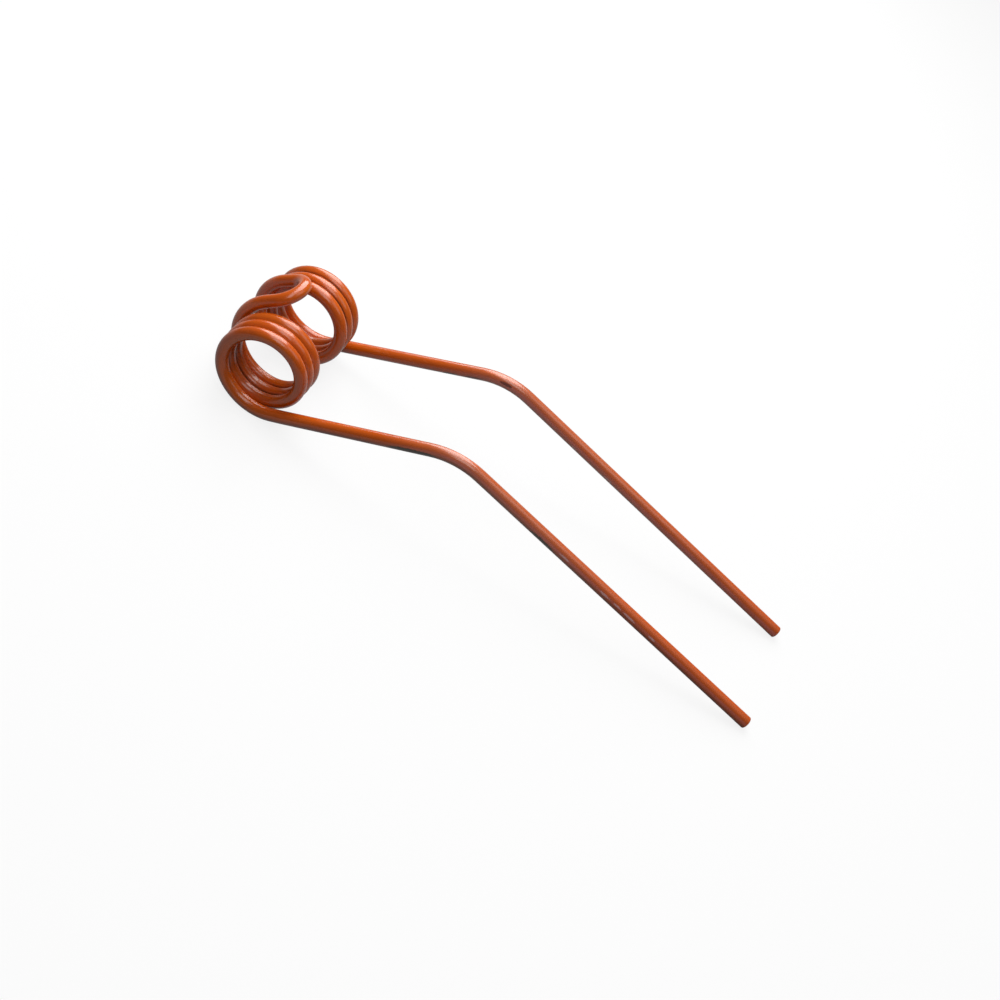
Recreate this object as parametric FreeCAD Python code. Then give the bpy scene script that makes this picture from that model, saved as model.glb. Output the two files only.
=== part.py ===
import FreeCAD, Part
import math
import os

# Tedder spring tine. One round spring-steel wire makes the whole of it: a clamp loop in the middle, a close-wound
# coil on each side of the loop, and a bent leg from the outer end of each coil. Millimetres, +Z up.
# It lies as it comes to rest, on the bend where each leg opens from its coil and on both cut ends, knees raised.

# Wire
wire_diameter = 9.0
cut_end_rounding = 0.7

# Coils
coil_inside_diameter = 45.5
coil_turns = 2.87
turn_gap = 0.05

# Clamp loop, between the two coils
loop_inside_width = 18.6
loop_straight_length = 7.5
strand_bend_radius = 31.5
strand_bend_angle = 144.0

# Legs, measured on the centre line
leg_opening_radius = 33.0
leg_opening_angle = 68.0
leg_straightening_radius = 150.0
coil_axis_to_knee = 139.0
knee_to_end = 264.0
knee_angle = 40.0
knee_bend_radius = 52.0

# How closely the swept surface follows the round section
surface_tolerance = 0.002
tangent_tolerance = 0.01
highest_surface_degree = 6

# Worked out from the sizes above. Bend radii are those of the wire's centre line.
wire_radius = wire_diameter / 2
coil_radius = coil_inside_diameter / 2 + wire_radius
loop_radius = loop_inside_width / 2 + wire_radius
# the lead angle that puts neighbouring turns one wire and one gap apart, measured square to the wire
lead_angle = math.asin((wire_diameter + turn_gap) / (2 * math.pi * coil_radius))

# The near half is drawn in a working frame: the coils' axis is Y with the near coil at negative Y, and the upper
# legs run along +X. Angles go round the coils' axis from +X towards +Z, and grow on the way from the loop to the
# leg's end. "Out" is the distance from the middle plane, and grows the same way.
Vector = FreeCAD.Vector
OUTWARD = Vector(0, -1, 0)
leg_angle = -math.pi / 2
coil_outer_angle = leg_angle - math.radians(leg_opening_angle)
coil_inner_angle = coil_outer_angle - 2 * math.pi * coil_turns
strand_start_angle = coil_inner_angle - math.radians(strand_bend_angle)


def radial(angle):
    """The direction from the coils' axis at an angle."""
    return Vector(math.cos(angle), 0, math.sin(angle))


def onward(angle):
    """The direction of travel round the coils' axis at an angle."""
    return Vector(-math.sin(angle), 0, math.cos(angle))


def wound(radius, centre, start_angle, turned, start_out):
    """Wire wound about an axis parallel to Y at the lead angle. Returns its edges and how far out it ends."""
    pitch = 2 * math.pi * radius * math.tan(lead_angle)
    drift = turned * radius * math.tan(lead_angle)
    curve = Part.makeHelix(pitch, drift, radius)
    seat = centre + OUTWARD * start_out
    from_axis = radial(start_angle)
    along = onward(start_angle)
    curve.transformShape(FreeCAD.Matrix(
        from_axis.x, along.x, OUTWARD.x, seat.x,
        from_axis.y, along.y, OUTWARD.y, seat.y,
        from_axis.z, along.z, OUTWARD.z, seat.z,
        0, 0, 0, 1))
    return curve.Edges, start_out + drift


def bend(start, heading, inward, radius, angle):
    """A flat bend that starts along heading and turns towards inward. Returns its edge and its end."""
    centre = start + inward * radius

    def on_bend(turned):
        return centre - inward * (radius * math.cos(turned)) + heading * (radius * math.sin(turned))

    return Part.Arc(start, on_bend(angle / 2), on_bend(angle)).toShape(), on_bend(angle)


def clamp_loop():
    """From the middle of the loop's end to the coil. Returns the edges, how far out they end, and the loop's end."""
    along = onward(strand_start_angle)
    strand_axis = radial(coil_inner_angle) * (coil_radius - strand_bend_radius)
    strand_start = strand_axis + radial(strand_start_angle) * strand_bend_radius
    reach = loop_straight_length * math.cos(lead_angle) + loop_radius * (1 - math.sin(lead_angle))
    loop_end = strand_start - along * reach
    loop_bend, straight_start = bend(loop_end, OUTWARD, along, loop_radius, math.pi / 2 - lead_angle)
    drifting = along * math.cos(lead_angle) + OUTWARD * math.sin(lead_angle)
    straight_end = straight_start + drifting * loop_straight_length
    straight = Part.makeLine(straight_start, straight_end)
    turned = math.radians(strand_bend_angle)
    strand, out = wound(strand_bend_radius, strand_axis, strand_start_angle, turned, straight_end.dot(OUTWARD))
    return [loop_bend, straight] + strand, out, loop_end


def coil(out):
    """The close-wound coil, in equal stretches of a turn or less, so that each face of the wire stays short."""
    stretches = math.ceil(coil_turns)
    turned = 2 * math.pi * coil_turns / stretches
    edges = []
    for number in range(stretches):
        stretch, out = wound(coil_radius, Vector(), coil_inner_angle + number * turned, turned, out)
        edges += stretch
    return edges, out


def leg(out, opening_axis, heading_down):
    """The leg opens from the coil on a wider bend, is straightened square to the axis, and bends at the knee."""
    opening, out = wound(leg_opening_radius, opening_axis, coil_outer_angle, math.radians(leg_opening_angle), out)
    opening_end = opening_axis + radial(leg_angle) * leg_opening_radius + OUTWARD * out
    heading = onward(leg_angle) * math.cos(lead_angle) + OUTWARD * math.sin(lead_angle)
    inward = onward(leg_angle) * math.sin(lead_angle) - OUTWARD * math.cos(lead_angle)
    straightening, upper_start = bend(opening_end, heading, inward, leg_straightening_radius, lead_angle)
    knee_setback = knee_bend_radius * math.tan(math.radians(knee_angle) / 2)
    knee_start = Vector(coil_axis_to_knee - knee_setback, upper_start.y, upper_start.z)
    upper = Part.makeLine(upper_start, knee_start)
    knee, knee_end = bend(knee_start, onward(leg_angle), radial(leg_angle), knee_bend_radius, math.radians(knee_angle))
    leg_end = knee_end + heading_down * (knee_to_end - knee_setback)
    lower = Part.makeLine(knee_end, leg_end)
    return opening + [straightening, upper, knee, lower], leg_end


def round_section(centre, across, up):
    """The wire's round section as four quarter arcs."""
    corners = [across * wire_radius, up * wire_radius, across * -wire_radius, up * -wire_radius]
    quarters = []
    for number in range(4):
        first = corners[number]
        last = corners[(number + 1) % 4]
        halfway = (first + last) * math.sqrt(0.5)
        quarters.append(Part.Arc(centre + first, centre + halfway, centre + last).toShape())
    return Part.Wire(quarters)


def swept(path, section):
    """The solid that the section leaves along the path."""
    sweep = Part.BRepOffsetAPI.MakePipeShell(path)
    sweep.setFrenetMode(False)
    sweep.setMaxDegree(highest_surface_degree)
    sweep.setTolerance(surface_tolerance, surface_tolerance, tangent_tolerance)
    sweep.add(section)
    sweep.build()
    sweep.makeSolid()
    return sweep.shape()


def resting_turn(opening_axis, leg_end, heading_down):
    """The turn about the coils' axis, from +X towards +Z, that lays the opening bend and the cut end on one floor.

    Seen along the axis, the floor touches two circles: the outside of the opening bend, and the rounded lower
    edge of the cut end.
    """
    underside = Vector(-math.sin(math.radians(knee_angle)), 0, -math.cos(math.radians(knee_angle)))
    edge_centre = leg_end - heading_down * cut_end_rounding + underside * (wire_radius - cut_end_rounding)
    across = edge_centre - opening_axis
    span = math.hypot(across.x, across.z)
    radius_drop = leg_opening_radius + wire_radius - cut_end_rounding
    floor_angle = math.atan2(across.z, across.x) - math.acos(radius_drop / span)
    return -math.pi / 2 - floor_angle


opening_axis = radial(coil_outer_angle) * (coil_radius - leg_opening_radius)
heading_down = Vector(math.cos(math.radians(knee_angle)), 0, -math.sin(math.radians(knee_angle)))

loop_edges, coil_inner_out, loop_end = clamp_loop()
coil_edges, coil_outer_out = coil(coil_inner_out)
leg_edges, leg_end = leg(coil_outer_out, opening_axis, heading_down)

# The whole wire, from the near leg's cut end through the loop to the far leg's.
near_half = loop_edges + coil_edges + leg_edges
far_half = [edge.mirror(Vector(), OUTWARD) for edge in near_half]
centre_line = Part.Wire(list(reversed(near_half)) + far_half)

section = round_section(leg_end, -OUTWARD, heading_down.cross(OUTWARD))
tine = swept(centre_line, section)
cut_edges = []
for face in tine.Faces:
    if isinstance(face.Surface, Part.Plane):
        cut_edges += face.Edges
tine = tine.makeFillet(cut_end_rounding, cut_edges).Solids[0]

# Laid down, with the origin at the bottom centre of its box.
turn = resting_turn(opening_axis, leg_end, heading_down)
tine.rotate(Vector(), Vector(0, 1, 0), -math.degrees(turn))
box = tine.optimalBoundingBox(False)
shift = Vector(-box.Center.x, -box.Center.y, -box.ZMin)
tine.translate(shift)


def placed(point):
    """Where a point of the working frame comes to lie."""
    return FreeCAD.Rotation(Vector(0, 1, 0), -math.degrees(turn)).multVec(point) + shift


os.makedirs("parts", exist_ok=True)
tine.exportStep("parts/tine.step")

print("valid", tine.isValid(), "faces", len(tine.Faces))
print("volume", tine.Volume, "section times length", math.pi * wire_radius ** 2 * centre_line.Length)
print("wire length", centre_line.Length, "size", box.XLength, box.YLength, box.ZLength)
print("turned", math.degrees(turn), "degrees, and moved", shift)
print("coil's axis", placed(Vector()), "coil from", coil_inner_out, "to", coil_outer_out, "out")
print("loop's end", placed(loop_end), "and its direction", placed(onward(strand_start_angle)) - placed(Vector()))
print("upper leg's direction", placed(onward(leg_angle)) - placed(Vector()))
print("leg's end", placed(leg_end), "and its direction", placed(heading_down) - placed(Vector()))
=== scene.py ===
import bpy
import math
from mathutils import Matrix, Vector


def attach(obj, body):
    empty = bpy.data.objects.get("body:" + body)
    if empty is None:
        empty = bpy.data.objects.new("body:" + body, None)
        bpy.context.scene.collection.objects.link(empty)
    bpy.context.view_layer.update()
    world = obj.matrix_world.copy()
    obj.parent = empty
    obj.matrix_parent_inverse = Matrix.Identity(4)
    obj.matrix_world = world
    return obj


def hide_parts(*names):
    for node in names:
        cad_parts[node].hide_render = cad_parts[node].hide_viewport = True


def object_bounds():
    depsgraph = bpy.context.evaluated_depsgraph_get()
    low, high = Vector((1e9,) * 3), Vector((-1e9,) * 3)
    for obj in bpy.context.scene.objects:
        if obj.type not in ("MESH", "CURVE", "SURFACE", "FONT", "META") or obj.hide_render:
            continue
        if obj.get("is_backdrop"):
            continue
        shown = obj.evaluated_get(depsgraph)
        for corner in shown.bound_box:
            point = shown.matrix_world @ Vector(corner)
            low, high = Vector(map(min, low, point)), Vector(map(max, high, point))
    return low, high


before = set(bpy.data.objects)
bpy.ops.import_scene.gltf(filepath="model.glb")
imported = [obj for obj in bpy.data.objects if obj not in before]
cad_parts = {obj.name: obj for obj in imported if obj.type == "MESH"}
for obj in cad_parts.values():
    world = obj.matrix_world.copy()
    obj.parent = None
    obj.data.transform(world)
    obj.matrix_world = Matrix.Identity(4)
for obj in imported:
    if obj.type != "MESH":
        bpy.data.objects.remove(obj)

# %% [markdown]
# A double spring tine for a hay tedder. It is one round steel wire, bent into a clamp loop, two coils and
# two long legs, and painted orange. The wire lies on a pale floor, on the bends where its legs leave the
# coils and on its two cut ends. This lesson draws the wire's round section once, walks it along one half
# of the tine as a bending machine would, mirrors that half, and then paints it.

cad_low, cad_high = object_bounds()
millimetre = 0.001
print("the wire has to fill", [round(value / millimetre, 1) for value in cad_high - cad_low], "mm")

# %% [markdown]
# The camera comes first, because every later choice is judged through it. The photograph looks down on
# the tine from its near side, and the camera is rolled, so that the legs run down to the right. A place,
# a point to look at and a roll say this more plainly than three angles would.

# %% Camera
camera_place = Vector((-0.0254, -0.7484, 0.6987))
camera_aim = Vector((-0.00235, -0.0005, 0.0120))
camera_roll = math.radians(33.72)
focal_length = 53.63

bpy.ops.object.camera_add(location=camera_place)
camera = bpy.context.object
camera.name = "camera"
camera.data.lens = focal_length
looking = (camera_aim - camera_place).to_track_quat("-Z", "Y")
camera.rotation_euler = (looking.to_matrix() @ Matrix.Rotation(camera_roll, 3, "Z")).to_euler()
bpy.context.scene.camera = camera
print("camera stands", round((camera_aim - camera_place).length, 3), "m from the tine")

# %% [markdown]
# These are the sizes that a wire bender would be given. Each bend radius is that of the wire's centre
# line. Turns of a coil lie a hair apart, and that fixes how far the wire climbs along the coil's axis in
# each turn: the lead angle.

# %% Sizes of the bent wire
wire_radius = 4.5 * millimetre
cut_end_rounding = 0.7 * millimetre
coil_radius = 27.25 * millimetre
coil_turns = 2.87
turn_spacing = 9.05 * millimetre
loop_radius = 13.8 * millimetre
loop_straight = 7.5 * millimetre
strand_radius = 31.5 * millimetre
strand_angle = math.radians(144)
opening_radius = 33.0 * millimetre
opening_angle = math.radians(68)
straightening_radius = 150.0 * millimetre
axis_to_knee = 139.0 * millimetre
knee_to_end = 264.0 * millimetre
knee_radius = 52.0 * millimetre
knee_angle = math.radians(40)

lead_angle = math.asin(turn_spacing / (2 * math.pi * coil_radius))
print("lead angle", round(math.degrees(lead_angle), 2), "degrees")

# %% [markdown]
# The tine is drawn with the coils' axis along Y and the upper legs along X, and is laid down at the end.
# Angles are counted round the coils' axis from X towards Z. The wire is walked from the middle of the
# loop out to the near leg, so each stretch starts where the last one stopped, and only these starting
# angles are needed.

# %% Directions round the coils' axis
def radial(angle):
    return Vector((math.cos(angle), 0, math.sin(angle)))


def onward(angle):
    return Vector((-math.sin(angle), 0, math.cos(angle)))


out = Vector((0, -1, 0))
leg_angle = -math.pi / 2
coil_end = leg_angle - opening_angle
coil_start = coil_end - 2 * math.pi * coil_turns
strand_start = coil_start - strand_angle
loop_along = onward(strand_start)
strand_axis = radial(coil_start) * (coil_radius - strand_radius)
loop_reach = loop_straight * math.cos(lead_angle) + loop_radius * (1 - math.sin(lead_angle))
loop_middle = strand_axis + radial(strand_start) * strand_radius - loop_along * loop_reach
print("the loop reaches", round(loop_middle.length / millimetre, 1), "mm from the coils' axis")

# %% [markdown]
# The section is a circle, drawn in the middle plane at the end of the loop, square to the wire. It has
# enough sides to look round from close by. In edit mode the whole circle stays selected, so each step can
# pull it further along.

# %% The wire's round section
section_sides = 48
bpy.ops.object.select_all(action="DESELECT")
bpy.ops.mesh.primitive_circle_add(vertices=section_sides, radius=wire_radius, location=loop_middle,
                                  rotation=(math.pi / 2, 0, 0))
wire = bpy.context.object
wire.name = "painted_wire"
bpy.ops.object.transform_apply(location=True, rotation=True, scale=True)
bpy.ops.object.mode_set(mode="EDIT")
bpy.ops.mesh.select_all(action="SELECT")
distances = [0.0]

# %% [markdown]
# Three moves make every stretch. A straight stretch is extruded in short lengths. A flat bend is spun
# round its centre. A wound stretch is extruded, turned round the coil's axis and slid along it by small
# equal steps, which keeps the section square to the climbing wire. Every move notes how far along the
# wire each new ring lies, for the paint to use later.

# %% Straight, flat bend and winding
step_angle = math.radians(5)
straight_step = 8 * millimetre


def go_straight(heading, length):
    steps = math.ceil(length / straight_step)
    for number in range(steps):
        bpy.ops.mesh.extrude_region_move(TRANSFORM_OT_translate={"value": heading * (length / steps)})
        distances.append(distances[-1] + length / steps)


def bend_flat(centre, axis, radius, angle):
    steps = math.ceil(angle / step_angle)
    bpy.ops.mesh.spin(steps=steps, angle=angle, center=centre, axis=axis)
    for number in range(steps):
        distances.append(distances[-1] + radius * angle / steps)


def wind(centre, radius, angle):
    steps = math.ceil(angle / step_angle)
    slide = out * (radius * math.tan(lead_angle) * angle / steps)
    for number in range(steps):
        bpy.ops.mesh.extrude_region_move(TRANSFORM_OT_translate={"value": slide})
        bpy.ops.transform.rotate(value=angle / steps, orient_axis="Y", center_override=centre)
        distances.append(distances[-1] + radius * angle / steps / math.cos(lead_angle))


def tip():
    """The middle of the last ring."""
    wire.update_from_editmode()
    ring = wire.data.vertices[-section_sides:]
    return sum((vertex.co for vertex in ring), Vector()) / section_sides


# %% [markdown]
# The clamp loop is a U that a bolt passes through. Half of it is a quarter bend and a short straight,
# which already climbs at the lead angle, and then the strand comes down onto the coil on a slightly wider
# bend.

# %% Half of the clamp loop
loop_centre = loop_middle + loop_along * loop_radius
bend_flat(loop_centre, loop_along.cross(out), loop_radius, math.pi / 2 - lead_angle)
go_straight(loop_along * math.cos(lead_angle) + out * math.sin(lead_angle), loop_straight)
wind(strand_axis, strand_radius, strand_angle)
print("the strand meets the coil at", [round(value / millimetre, 2) for value in tip()])

# %% The coil
wind(Vector(), coil_radius, 2 * math.pi * coil_turns)
print("the coil ends at", [round(value / millimetre, 2) for value in tip()])

# %% [markdown]
# The leg opens from the coil on a wider bend. A very slight flat bend takes the climb out of it, so that
# both legs run square to the coils. Then come the upper leg, the knee and the lower leg.

# %% The leg
opening_axis = radial(coil_end) * (coil_radius - opening_radius)
wind(opening_axis, opening_radius, opening_angle)
heading = Vector((math.cos(lead_angle), -math.sin(lead_angle), 0))
inward = Vector((math.sin(lead_angle), math.cos(lead_angle), 0))
bend_flat(tip() + inward * straightening_radius, Vector((0, 0, -1)), straightening_radius, lead_angle)
knee_setback = knee_radius * math.tan(knee_angle / 2)
go_straight(Vector((1, 0, 0)), axis_to_knee - knee_setback - tip().x)
knee_distance = distances[-1] + knee_radius * knee_angle / 2
bend_flat(tip() - Vector((0, 0, knee_radius)), Vector((0, -1, 0)), knee_radius, knee_angle)
leg_heading = Vector((math.cos(knee_angle), 0, -math.sin(knee_angle)))
go_straight(leg_heading, knee_to_end - knee_setback)
leg_end = tip()
print("the leg ends at", [round(value / millimetre, 2) for value in leg_end])
bpy.ops.object.mode_set(mode="OBJECT")
print("rings", len(distances), "vertices", len(wire.data.vertices))

# %% [markdown]
# Blotches, dust and scuffs follow the wire and not the room, so the paint needs to know where each point
# would lie if the wire were pulled straight. That is kept as an attribute: the distance from the middle
# of the loop, and the place on the round section. It has no seam, as a UV map would have along the wire.

# %% Where each point lies on the straightened wire
straightened = wire.data.attributes.new("straightened", "FLOAT_VECTOR", "POINT")
for index in range(len(wire.data.vertices)):
    ring, side = divmod(index, section_sides)
    around = 2 * math.pi * side / section_sides
    place = (distances[ring], wire_radius * math.cos(around), wire_radius * math.sin(around))
    straightened.data[index].vector = place

# %% [markdown]
# The wire is cropped square and then rumbled, so its end is flat with a slightly rounded edge. The last
# ring is filled with a face, and the bevel operator rounds the edge between that face and the wire.

# %% The cut end
bpy.ops.object.mode_set(mode="EDIT")
bpy.ops.mesh.edge_face_add()
bpy.ops.mesh.bevel(offset=cut_end_rounding, segments=4, affect="EDGES")
bpy.ops.object.mode_set(mode="OBJECT")

# %% [markdown]
# The far half is the near one's mirror image, with its coil wound the other way, and a Mirror modifier
# makes it. The two meet in the first ring, which lies in the middle plane. Mirroring turns faces inside
# out at times, so the doubles are merged and the normals are worked out again. On the far half, distances
# count backwards from the loop.

# %% Both halves
mirror = wire.modifiers.new("far half", "MIRROR")
mirror.use_axis = (False, True, False)
mirror.merge_threshold = 0.02 * millimetre
bpy.ops.object.modifier_apply(modifier=mirror.name)
bpy.ops.object.mode_set(mode="EDIT")
bpy.ops.mesh.select_all(action="SELECT")
bpy.ops.mesh.remove_doubles(threshold=0.002 * millimetre)
bpy.ops.mesh.normals_make_consistent(inside=False)
bpy.ops.object.mode_set(mode="OBJECT")
straightened = wire.data.attributes["straightened"]
for vertex in wire.data.vertices:
    if vertex.co.y > 0:
        place = straightened.data[vertex.index].vector
        straightened.data[vertex.index].vector = (-place.x, place.y, place.z)
bpy.ops.object.shade_smooth_by_angle(angle=math.radians(40))
print("faces", len(wire.data.polygons), "over", round(2 * distances[-1], 3), "m of wire")

# %% [markdown]
# Now the tine is laid down. Seen along the coils' axis, the floor touches two circles: the outside of the
# bend where the leg opens, and the rounded lower edge of the cut end. The turn that brings both to the
# floor follows from their centres and radii. The frame then says where the tine lies.

# %% Laid on the floor
underside = Vector((-math.sin(knee_angle), 0, -math.cos(knee_angle)))
edge_centre = leg_end - leg_heading * cut_end_rounding + underside * (wire_radius - cut_end_rounding)
across = edge_centre - opening_axis
radius_drop = opening_radius + wire_radius - cut_end_rounding
floor_angle = math.atan2(across.z, across.x) - math.acos(radius_drop / math.hypot(across.x, across.z))
wire.rotation_euler = (0, math.pi / 2 + floor_angle, 0)
bpy.ops.object.transform_apply(location=False, rotation=True, scale=False)
places = [vertex.co for vertex in wire.data.vertices]
low = Vector([min(place[axis] for place in places) for axis in range(3)])
high = Vector([max(place[axis] for place in places) for axis in range(3)])
cad_middle = (cad_low + cad_high) / 2
wire.location = (cad_middle.x - (low.x + high.x) / 2, 0, cad_low.z - low.z)
bpy.ops.object.transform_apply(location=True, rotation=False, scale=False)
print("turned", round(math.degrees(-math.pi / 2 - floor_angle), 2), "degrees")
print("the wire measures", [round(value / millimetre, 2) for value in high - low], "mm")

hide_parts("tine")
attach(wire, "root")

# %% [markdown]
# The paint is one coat of orange enamel over the whole bent tine, cut ends too. Its shader is built from
# nodes. The first cell sets the plain enamel: a strong orange under a thin, hard, glossy skin. The skin's
# own gloss is a single value, because it is the same all over. Every pattern after that reads the
# straightened wire.

# %% Orange enamel
paint = bpy.data.materials.new("orange_paint")
paint.use_nodes = True
nodes = paint.node_tree.nodes
links = paint.node_tree.links
enamel = nodes["Principled BSDF"]
enamel.inputs["Specular IOR Level"].default_value = 0.5
enamel.inputs["Coat Roughness"].default_value = 0.18
wire.data.materials.append(paint)
on_wire = nodes.new("ShaderNodeAttribute")
on_wire.attribute_name = "straightened"
print("paint slots on the wire:", len(wire.data.materials))

# %% [markdown]
# Blotches in paint on a drawn wire are longer than they are wide. So each noise is stretched along the
# straightened wire, and its size is given as the millimetres that one blotch measures along the wire and
# across it.

# %% Noise that follows the wire
def noise_on_wire(along, across, detail=2.0):
    stretch = nodes.new("ShaderNodeMapping")
    repeats_along = 1 / (along * millimetre)
    repeats_across = 1 / (across * millimetre)
    stretch.inputs["Scale"].default_value = (repeats_along, repeats_across, repeats_across)
    noise = nodes.new("ShaderNodeTexNoise")
    noise.inputs["Scale"].default_value = 1.0
    noise.inputs["Detail"].default_value = detail
    links.new(on_wire.outputs["Vector"], stretch.inputs["Vector"])
    links.new(stretch.outputs["Vector"], noise.inputs["Vector"])
    return noise.outputs["Fac"]


# %% [markdown]
# A few small tools keep the paint readable. A ramp turns part of a value's range into a mask. Two masks
# are multiplied where both must hold, and the larger one is taken where either may. A mask then blends
# two colours, or two gloss values.

# %% Ramps, masks and blends
def ramp(value, low, high, low_result=0.0, high_result=1.0):
    spread = nodes.new("ShaderNodeMapRange")
    spread.inputs["From Min"].default_value = low
    spread.inputs["From Max"].default_value = high
    spread.inputs["To Min"].default_value = low_result
    spread.inputs["To Max"].default_value = high_result
    links.new(value, spread.inputs["Value"])
    return spread.outputs["Result"]


def calculate(operation, first, second):
    maths = nodes.new("ShaderNodeMath")
    maths.operation = operation
    for socket, value in ((maths.inputs[0], first), (maths.inputs[1], second)):
        if isinstance(value, float):
            socket.default_value = value
        else:
            links.new(value, socket)
    return maths.outputs[0]


def both(first, second):
    return calculate("MULTIPLY", first, second)


def any_of(masks):
    result = masks[0]
    for mask in masks[1:]:
        result = calculate("MAXIMUM", result, mask)
    return result


def between(value, low, high, soft):
    return both(ramp(value, low, low + soft), ramp(value, high - soft, high, 1.0, 0.0))


def blend_colour(mask, below, above):
    mix = nodes.new("ShaderNodeMix")
    mix.data_type = "RGBA"
    links.new(mask, mix.inputs["Factor"])
    for socket, colour in ((mix.inputs[6], below), (mix.inputs[7], above)):
        if isinstance(colour, tuple):
            socket.default_value = (*colour, 1)
        else:
            links.new(colour, socket)
    return mix.outputs[2]


def blend_gloss(mask, below, above):
    mix = nodes.new("ShaderNodeMix")
    links.new(mask, mix.inputs["Factor"])
    links.new(below, mix.inputs[2])
    mix.inputs[3].default_value = above
    return mix.outputs[0]


# %% [markdown]
# Some finishes belong to one stretch of the wire: shade is painted in between the turns of a coil, and the
# legs are painted darker than the coils as shade. The lengths that the bending used say where each stretch
# begins. Across the section, the first number grows from the side that faces the coils' axis to the far
# side, and the second from the outer side of the tine to its middle plane.

# %% Stretches of the wire
parts = nodes.new("ShaderNodeSeparateXYZ")
links.new(on_wire.outputs["Vector"], parts.inputs["Vector"])
from_loop = calculate("MAXIMUM", parts.outputs["X"], calculate("MULTIPLY", parts.outputs["X"], -1.0))
off_axis = parts.outputs["Y"]
to_middle = parts.outputs["Z"]

strand_length = strand_radius * strand_angle / math.cos(lead_angle)
turn_length = 2 * math.pi * coil_radius / math.cos(lead_angle)
coil_begin = loop_radius * (math.pi / 2 - lead_angle) + loop_straight + strand_length
coil_finish = coil_begin + coil_turns * turn_length
wire_end = distances[-1]
on_coil = between(from_loop, coil_begin, coil_finish, 20 * millimetre)
on_leg = ramp(from_loop, coil_finish, knee_distance)
under_leg = ramp(from_loop, coil_finish - 60 * millimetre, coil_finish + 10 * millimetre)
print("coils from", round(coil_begin / millimetre), "to", round(coil_finish / millimetre),
      "mm along the wire")

# %% [markdown]
# Sprayed enamel is never one flat colour. Where it lies thicker it is a deeper red-orange. The legs are
# given a darker enamel than the coils, and that darkness is painted shade. The drift is slow along the
# wire.

# %% Colour drift of the enamel, and painted shade on the legs
thin_enamel = (0.63, 0.108, 0.002)
thick_enamel = (0.58, 0.086, 0.002)
# The legs' darker enamel is painted shade.
shaded_leg_enamel = (0.53, 0.080, 0.002)
drift = ramp(noise_on_wire(38, 9), 0.35, 0.65)
colour = blend_colour(drift, thick_enamel, thin_enamel)
leg_shade = both(on_leg, ramp(noise_on_wire(60, 7), 0.3, 0.7, 0.7, 1.0))
colour = blend_colour(leg_shade, colour, shaded_leg_enamel)
print("nodes after the colour drift:", len(nodes))

# %% [markdown]
# From the knees down, a paler haze takes some of the colour out of the paint: it is partly dust and partly
# a painted sheen. It fades towards the cut ends, on the near leg sooner than on the far one.

# %% Dust and painted sheen on the lower legs
dust_and_sheen_colour = (0.54, 0.128, 0.048)
below_knee = ramp(from_loop, knee_distance - 50 * millimetre, knee_distance)
near_wiping_start = knee_distance + 70 * millimetre
near_wiping_end = knee_distance + 160 * millimetre
far_wiping_start = knee_distance + 90 * millimetre
near_wiped = ramp(parts.outputs["X"], near_wiping_start, near_wiping_end)
far_wiped = ramp(parts.outputs["X"], -wire_end, -far_wiping_start, 1.0, 0.0)
wiped = any_of([near_wiped, far_wiped])
not_wiped = ramp(wiped, 0.0, 1.0, 1.0, 0.05)
# This mask carries dust and, near the knees, a painted sheen.
dust_and_sheen = both(both(below_knee, not_wiped), ramp(noise_on_wire(24, 4), 0.3, 0.7, 0.5, 1.0))
colour = blend_colour(dust_and_sheen, colour, dust_and_sheen_colour)
print("dust from", round(knee_distance / millimetre), "to", round(wire_end / millimetre),
      "mm along the wire")

# %% [markdown]
# A paler band all along the flanks of the lower legs is a painted reflection. It is a band on the
# section, a little lower on the outer flanks than on the inner ones.

# %% Painted reflection on the legs' flanks
# This paler band is a painted reflection.
flank_reflection_colour = (0.76, 0.24, 0.23)
band_edge = 1.1 * millimetre
inner_half = ramp(to_middle, 0.0, 2.0 * millimetre)
outer_half = ramp(to_middle, -2.0 * millimetre, 0.0, 1.0, 0.0)
inner_flank = both(inner_half, between(off_axis, -3.5 * millimetre, 0.3 * millimetre, band_edge))
outer_flank = both(outer_half, between(off_axis, -1.9 * millimetre, 1.2 * millimetre, band_edge))
flank = any_of([inner_flank, outer_flank])
flank_reflection = both(both(below_knee, flank), ramp(noise_on_wire(30, 3), 0.3, 0.7, 0.2, 0.5))
colour = blend_colour(flank_reflection, colour, flank_reflection_colour)
print("nodes after the dust and the bloom:", len(nodes))

# %% [markdown]
# Turns of a close-wound coil almost touch, and the shade between them is painted in as a dark line. The
# first turn has no neighbour on its inner side, and the last has none on its outer side. A lighter painted
# shade darkens the coils' bores and the undersides of the legs.

# %% Painted shade between the turns, in the bores and under the legs
bore_shade_colour = (0.23, 0.042, 0.010)
leg_underside_shade_colour = (0.13, 0.036, 0.024)
crevice_shade_colour = (0.045, 0.014, 0.004)
contact_edge = 8 * millimetre

inner_side = ramp(to_middle, 3.9 * millimetre, 4.4 * millimetre)
outer_side = ramp(to_middle, -4.4 * millimetre, -3.9 * millimetre, 1.0, 0.0)
inner_contact = both(inner_side, between(from_loop, coil_begin + turn_length, coil_finish, contact_edge))
outer_contact = both(outer_side, between(from_loop, coil_begin, coil_finish - turn_length, contact_edge))
# The dark line between the turns is painted shade.
crevice_shade = both(any_of([inner_contact, outer_contact]), ramp(noise_on_wire(9, 2), 0.3, 0.6, 0.5, 0.95))

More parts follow.
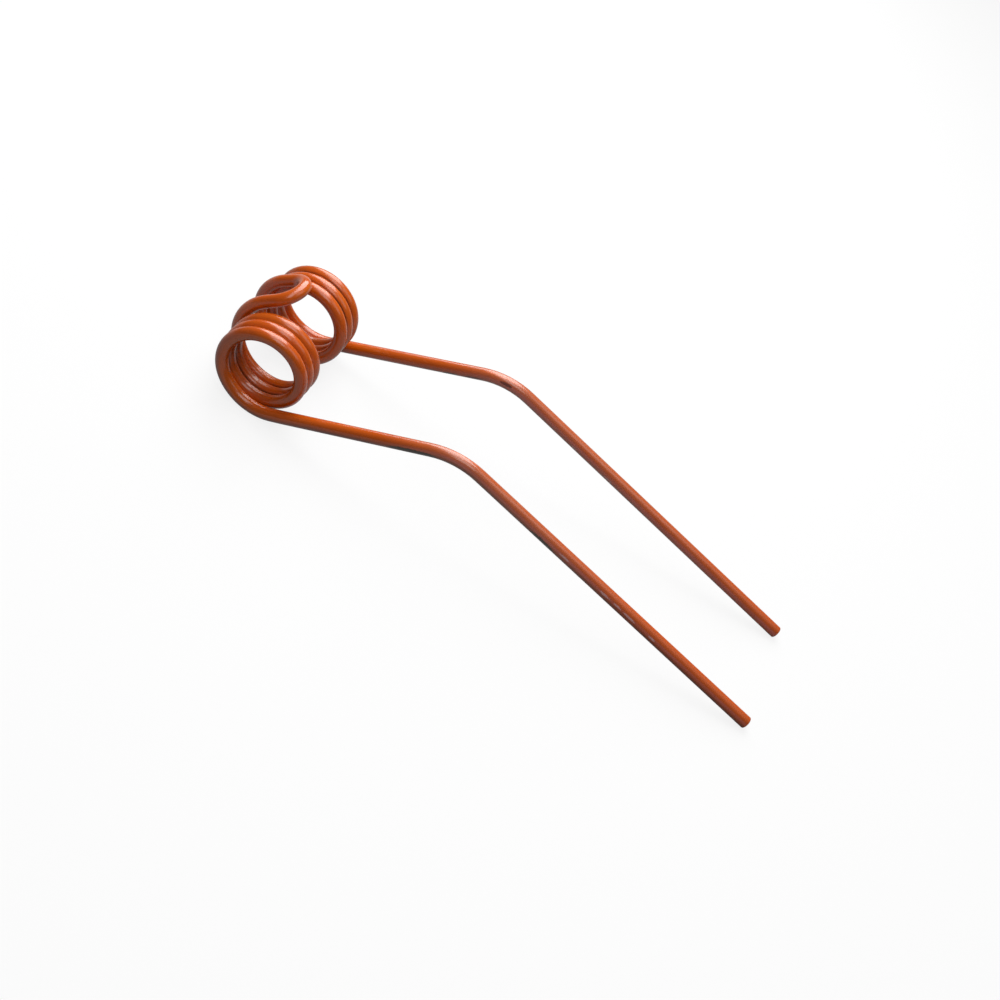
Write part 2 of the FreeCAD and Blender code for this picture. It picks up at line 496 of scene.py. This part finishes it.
# The darker films in the bores and under the legs are painted shade.
bore_side = ramp(off_axis, -4.4 * millimetre, -1.5 * millimetre, 1.0, 0.0)
bore_shade = both(both(bore_side, on_coil), ramp(noise_on_wire(25, 5), 0.3, 0.7, 0.35, 0.65))
lower_side = ramp(off_axis, 0.4 * millimetre, 2.6 * millimetre)
leg_underside_shade = both(both(lower_side, under_leg), ramp(noise_on_wire(16, 2.5), 0.3, 0.65, 0.40, 0.90))

for shaded_area, shaded_area_colour in ((bore_shade, bore_shade_colour), (leg_underside_shade, leg_underside_shade_colour), (crevice_shade, crevice_shade_colour)):
    colour = blend_colour(shaded_area, colour, shaded_area_colour)
print("nodes after the dirt:", len(nodes))

# %% [markdown]
# The photograph shows single marks, and each is put where it lies on the straightened wire: its distance
# from the loop's middle, negative on the far half, and its place on the section. A mark is a small
# ellipse, drawn out along the wire, whose rim is broken up by a fine noise so that it looks torn and not
# stamped.

# %% One mark on the paint
rim_noise = noise_on_wire(2.2, 1.1, 3.0)
rim_softness = 0.1


def mark(distance, off_axis_place, to_middle_place, length, width, ragged=0.45):
    centred = nodes.new("ShaderNodeVectorMath")
    centred.operation = "SUBTRACT"
    place = Vector((distance, off_axis_place, to_middle_place)) * millimetre
    centred.inputs[1].default_value = place
    links.new(on_wire.outputs["Vector"], centred.inputs[0])
    sized = nodes.new("ShaderNodeVectorMath")
    sized.operation = "DIVIDE"
    sized.inputs[1].default_value = Vector((length, width, width)) * (millimetre / 2)
    links.new(centred.outputs[0], sized.inputs[0])
    reach = nodes.new("ShaderNodeVectorMath")
    reach.operation = "LENGTH"
    links.new(sized.outputs[0], reach.inputs[0])
    torn_reach = calculate("ADD", reach.outputs["Value"], calculate("MULTIPLY", rim_noise, ragged * 2))
    rim = 1 + ragged
    return ramp(torn_reach, rim - rim_softness, rim + rim_softness, 1.0, 0.0)


# %% [markdown]
# There are four kinds. Short pale scuffs run in a row along the near leg's flank, and two more lie on the
# far leg's; their pale lilac is partly worn paint and partly a painted glint. Chips under the legs show dark
# steel. Rubs are brownish, where paint is worn thin without coming off. Both knees carry a paler painted
# sheen on top, where the paint is also glossier.

# %% Scuffs, chips, rubs and painted sheen on the knees
# The scuffs' pale lilac is partly a painted glint.
scuffs_and_glints = any_of([
    mark(866, -0.4, -4.5, 9, 1.3, 0.8),
    mark(902, -0.3, -4.5, 9, 1.5, 0.9),
    mark(914, -0.5, -4.5, 7, 1.2, 0.6),
    mark(925, -0.3, -4.5, 10, 1.4, 0.8),
    mark(946, -0.2, -4.5, 6, 1.3, 0.7),
    mark(-868, -0.4, 4.5, 8, 1.2, 0.8),
    mark(-836, -0.3, 4.5, 5, 1.1, 0.6),
])
chips = any_of([
    mark(-731, 1.4, 4.2, 10, 2.7, 0.8),
    mark(-1033, 2.4, 3.6, 7, 3.6),
    mark(742, 2.4, -3.8, 34, 4.0),
    mark(848, 2.4, -3.8, 20, 3.6),
])
rubs = any_of([
    mark(-772, -2.6, 3.6, 9, 2.2, 0.3),
    mark(-748, 0.6, 4.4, 12, 2.4),
])
# The knees' paler colour is a painted sheen.
knee_sheen = any_of([
    mark(776, -4.3, 0.6, 22, 2.4, 0.8),
    mark(-768, -4.3, 0.4, 22, 2.4, 0.8),
])
knee_sheen_colour = (0.72, 0.19, 0.09)
scuff_and_glint_colour = (0.76, 0.40, 0.38)
rub_colour = (0.20, 0.050, 0.030)
bare_steel = (0.060, 0.036, 0.022)
for marks, mark_colour in ((knee_sheen, knee_sheen_colour), (scuffs_and_glints, scuff_and_glint_colour),
                           (rubs, rub_colour), (chips, bare_steel)):
    colour = blend_colour(marks, colour, mark_colour)
links.new(colour, enamel.inputs["Base Color"])
print("nodes after the marks:", len(nodes))

# %% [markdown]
# Clean enamel is glossy, with slow changes where it dried unevenly. Where shade is painted in the bores and
# under the legs, and on the scuffs, rubs and chips, the paint scatters the light more, and under the knees'
# painted sheen less. Where the ends of the legs are wiped, they are duller and the hard skin is worn thin.

# %% Gloss
gloss = ramp(noise_on_wire(14, 5), 0.3, 0.7, 0.20, 0.30)
for area, roughness in ((wiped, 0.5), (bore_shade, 0.32), (leg_underside_shade, 0.6), (scuffs_and_glints, 0.45), (rubs, 0.5),
                        (chips, 0.5), (knee_sheen, 0.2)):
    gloss = blend_gloss(area, gloss, roughness)
links.new(gloss, enamel.inputs["Roughness"])

whole_skin = 0.5
worn_skin = 0.1
skin_weight = ramp(wiped, 0.0, 1.0, whole_skin, worn_skin)
links.new(skin_weight, enamel.inputs["Coat Weight"])
print("the skin's weight goes from", whole_skin, "to", worn_skin, "on the wiped ends")

# %% [markdown]
# Spray dries to a faint orange peel, softly dimpled and drawn out along the wire. Chips lie a paint's
# thickness lower than the skin around them.

# %% Skin of the enamel
chip_depth = 0.8
relief = calculate("SUBTRACT", noise_on_wire(3.5, 2.2, 0.0), calculate("MULTIPLY", chips, chip_depth))
skin = nodes.new("ShaderNodeBump")
skin.inputs["Strength"].default_value = 0.18
skin.inputs["Distance"].default_value = 0.05 * millimetre
links.new(relief, skin.inputs["Height"])
links.new(skin.outputs["Normal"], enamel.inputs["Normal"])
links.new(skin.outputs["Normal"], enamel.inputs["Coat Normal"])
print("the paint has", len(nodes), "nodes")

# %% [markdown]
# The tine lies on a plain white floor without an edge in view. Part of the floor's white is its own glow,
# which the camera and the paint's reflections see but which doesn't light the tine. The rest is ordinary
# pale floor, which takes the tine's soft shadow and throws a little light back up under it.

# %% Floor
floor_glow = 0.85
glow_in_reflections = 0.4
floor_grey = 0.12
bpy.ops.object.select_all(action="DESELECT")
bpy.ops.mesh.primitive_plane_add(size=8.0, location=(0, 0, 0))
floor = bpy.context.object
floor.name = "floor"
floor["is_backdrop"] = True
backdrop = bpy.data.materials.new("pale_backdrop")
backdrop.use_nodes = True
floor.data.materials.append(backdrop)
floor_nodes = backdrop.node_tree.nodes
floor_links = backdrop.node_tree.links
floor_surface = floor_nodes["Principled BSDF"]
floor_surface.inputs["Base Color"].default_value = (floor_grey, floor_grey, floor_grey, 1)
floor_surface.inputs["Roughness"].default_value = 0.9
floor_surface.inputs["Specular IOR Level"].default_value = 0.0
floor_surface.inputs["Emission Color"].default_value = (1, 1, 1, 1)

ray = floor_nodes.new("ShaderNodeLightPath")
mirrored = floor_nodes.new("ShaderNodeMath")
mirrored.operation = "ADD"
floor_links.new(ray.outputs["Is Glossy Ray"], mirrored.inputs[0])
floor_links.new(ray.outputs["Is Transmission Ray"], mirrored.inputs[1])
seen = floor_nodes.new("ShaderNodeMath")
seen.operation = "MULTIPLY_ADD"
seen.inputs[1].default_value = glow_in_reflections
floor_links.new(mirrored.outputs[0], seen.inputs[0])
floor_links.new(ray.outputs["Is Camera Ray"], seen.inputs[2])
glow = floor_nodes.new("ShaderNodeMath")
glow.operation = "MULTIPLY"
glow.inputs[1].default_value = floor_glow
floor_links.new(seen.outputs[0], glow.inputs[0])
floor_links.new(glow.outputs[0], floor_surface.inputs["Emission Strength"])
print("the floor glows at", floor_glow, "to the camera,", floor_glow * glow_in_reflections, "in reflections")

# %% [markdown]
# Around the floor is a dim room, which gives the paint its dark, saturated places. The camera sees it as
# bright as the far floor, so a low view has no dark horizon.

# %% Room
room_light = 0.09
room = bpy.data.worlds.new("studio")
bpy.context.scene.world = room
room.use_nodes = True
room_nodes = room.node_tree.nodes
room_ray = room_nodes.new("ShaderNodeLightPath")
room_strength = room_nodes.new("ShaderNodeMapRange")
room_strength.inputs["To Min"].default_value = room_light
room_strength.inputs["To Max"].default_value = floor_glow
room.node_tree.links.new(room_ray.outputs["Is Camera Ray"], room_strength.inputs["Value"])
room.node_tree.links.new(room_strength.outputs["Result"], room_nodes["Background"].inputs["Strength"])
room_nodes["Background"].inputs["Color"].default_value = (1, 1, 1, 1)
print("the room lights the tine at", room_light)

# %% [markdown]
# The highlights in the photograph tell where its lights were. A long one on the shoulder of every turn
# comes from a tall panel behind the tine. Softer ones come from panels overhead, in front, and to the
# right. Each lamp here is such a panel, aimed at the tine, and together they light an upward face at
# about the level at which a colour renders as it is written.

# %% Lamps
lamp_aim = Vector((-0.05, 0, 0.03))


def panel(name, direction, distance, width, height, power):
    place = lamp_aim + Vector(direction).normalized() * distance
    bpy.ops.object.light_add(type="AREA", location=place)
    lamp = bpy.context.object
    lamp.name = name
    lamp.data.shape = "RECTANGLE"
    lamp.data.size = width
    lamp.data.size_y = height
    lamp.data.energy = power
    lamp.rotation_euler = (lamp_aim - place).to_track_quat("-Z", "Y").to_euler()
    print(name, "panel stands at", [round(value, 2) for value in place])


panel("back", (-0.24, 0.62, 0.766), 1.3, 1.0, 1.5, 24.0)
panel("top", (-0.15, -0.05, 1), 1.1, 0.6, 0.6, 2.2)
panel("front", (0.0, -0.49, 0.866), 1.3, 0.6, 0.6, 2.8)
panel("right", (0.56, 0.06, 0.83), 1.1, 0.7, 0.7, 1.6)
bpy.context.scene.view_settings.view_transform = "Standard"

# %% [markdown]
# The box that the CAD model fills is printed at the start, and the box that the painted wire fills is
# printed here, so that they can be compared.

# %% Sizes for comparison
low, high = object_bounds()
print("the painted wire fills", [round(value / millimetre, 1) for value in high - low], "mm")
